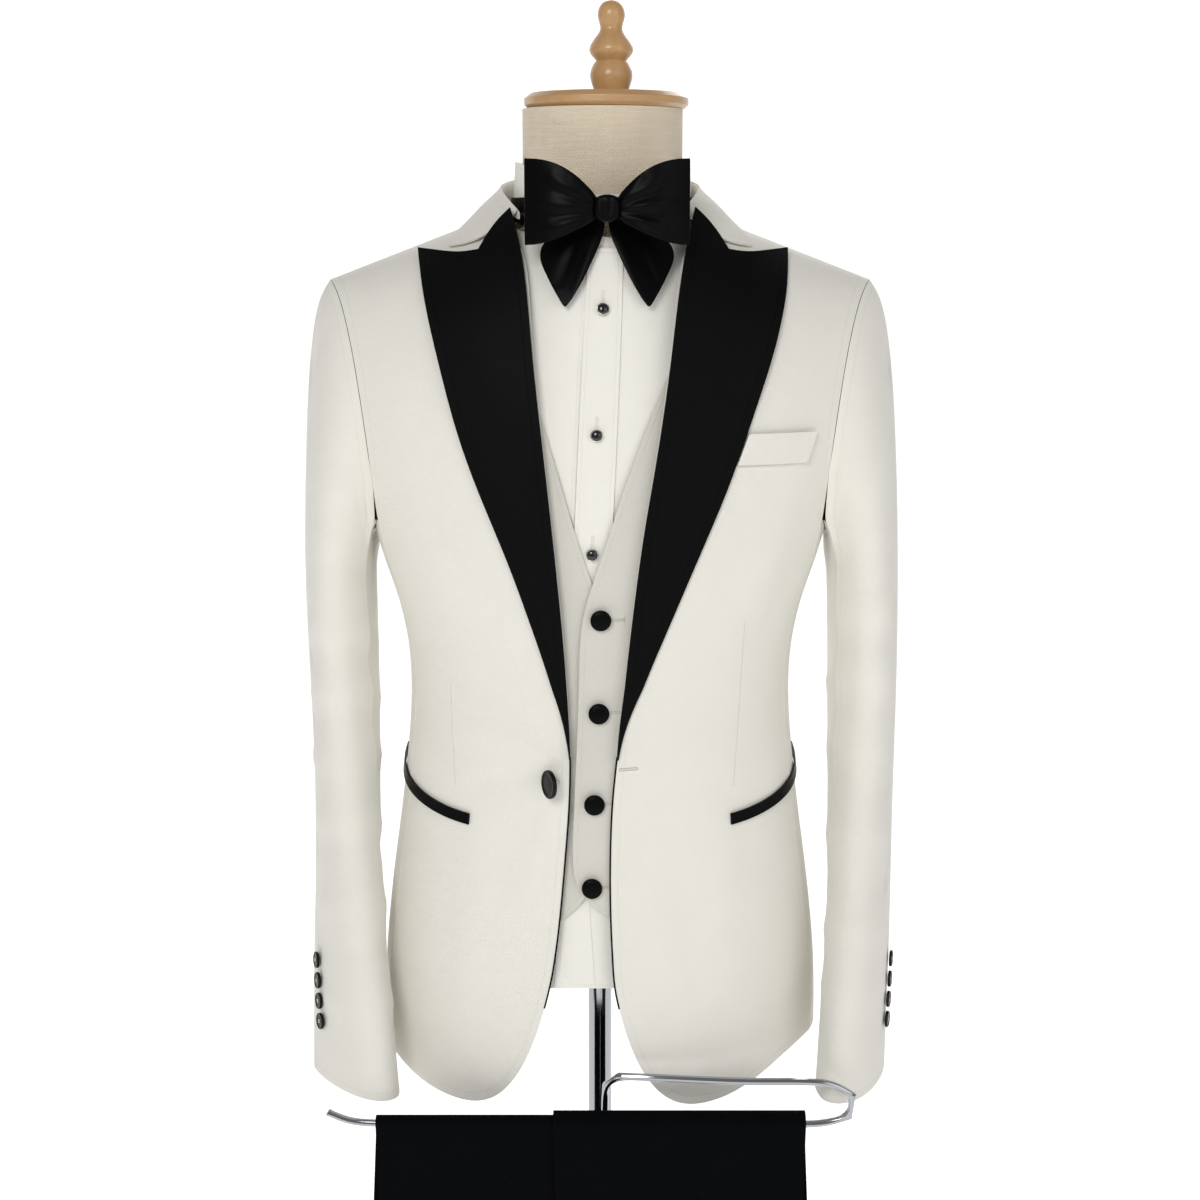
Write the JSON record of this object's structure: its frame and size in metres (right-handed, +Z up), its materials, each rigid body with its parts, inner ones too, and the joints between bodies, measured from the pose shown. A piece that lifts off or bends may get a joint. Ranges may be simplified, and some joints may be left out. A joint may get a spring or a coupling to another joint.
{
  "type": "tuxedo on a dress form",
  "caption": "Ivory dinner jacket and waistcoat with black satin peak lapels, shirt and bow tie on a limbless dress form and stand, black trousers folded over the rail below",
  "frame": {"origin": "on the floor, at the centre of the round stand base", "axes": "+Z up along the pole, -Y the way the garment faces, +X the wearer's left"},
  "size_m": [0.4907, 0.32, 1.5768],
  "materials": {
    "ivory_wool": "matte fine wool twill, ivory",
    "shirt_cotton": "off white cotton poplin",
    "black_satin": "black satin with a soft sheen",
    "black_wool": "matte black wool",
    "linen": "natural linen weave",
    "beech": "lacquered turned beech",
    "chrome": "polished chrome plate",
    "jet": "glossy black"
  },
  "bodies": {
    "root": {"bow_tie_band": "black_satin", "bow_tie_knot": "black_satin", "bow_tie_tail_left": "black_satin", "bow_tie_tail_right": "black_satin", "bow_tie_wing_left": "black_satin", "bow_tie_wing_right": "black_satin", "cuff_button_left_1": "black_satin", "cuff_button_left_2": "black_satin", "cuff_button_left_3": "black_satin", "cuff_button_left_4": "black_satin", "cuff_button_right_1": "black_satin", "cuff_button_right_2": "black_satin", "cuff_button_right_3": "black_satin", "cuff_button_right_4": "black_satin", "form_finial": "beech", "form_neck_cap": "beech", "form_torso": "linen", "jacket_back_left": "ivory_wool", "jacket_back_right": "ivory_wool", "jacket_breast_welt": "ivory_wool", "jacket_button": "black_satin", "jacket_collar": "ivory_wool", "jacket_front_left": "ivory_wool", "jacket_front_right": "ivory_wool", "jacket_lapel_left": "black_satin", "jacket_lapel_right": "black_satin", "jacket_pocket_jet_left": "black_satin", "jacket_pocket_jet_right": "black_satin", "jacket_side_left": "ivory_wool", "jacket_side_right": "ivory_wool", "jacket_under_sleeve_left": "ivory_wool", "jacket_under_sleeve_right": "ivory_wool", "jacket_upper_sleeve_left": "ivory_wool", "jacket_upper_sleeve_right": "ivory_wool", "rail_clamp": "chrome", "shirt_back": "shirt_cotton", "shirt_collar": "shirt_cotton", "shirt_front_left": "shirt_cotton", "shirt_front_right": "shirt_cotton", "shirt_placket": "shirt_cotton", "shirt_stud_1": "jet", "shirt_stud_2": "jet", "shirt_stud_3": "jet", "stand_base": "chrome", "stand_pole": "chrome", "trouser_back_left": "black_wool", "trouser_back_right": "black_wool", "trouser_front_left": "black_wool", "trouser_front_right": "black_wool", "trouser_rail": "chrome", "trouser_waistband": "black_wool", "waistcoat_back": "ivory_wool", "waistcoat_button_1": "black_satin", "waistcoat_button_2": "black_satin", "waistcoat_button_3": "black_satin", "waistcoat_button_4": "black_satin", "waistcoat_front_left": "ivory_wool", "waistcoat_front_right": "ivory_wool"}
  },
  "joints": []
}
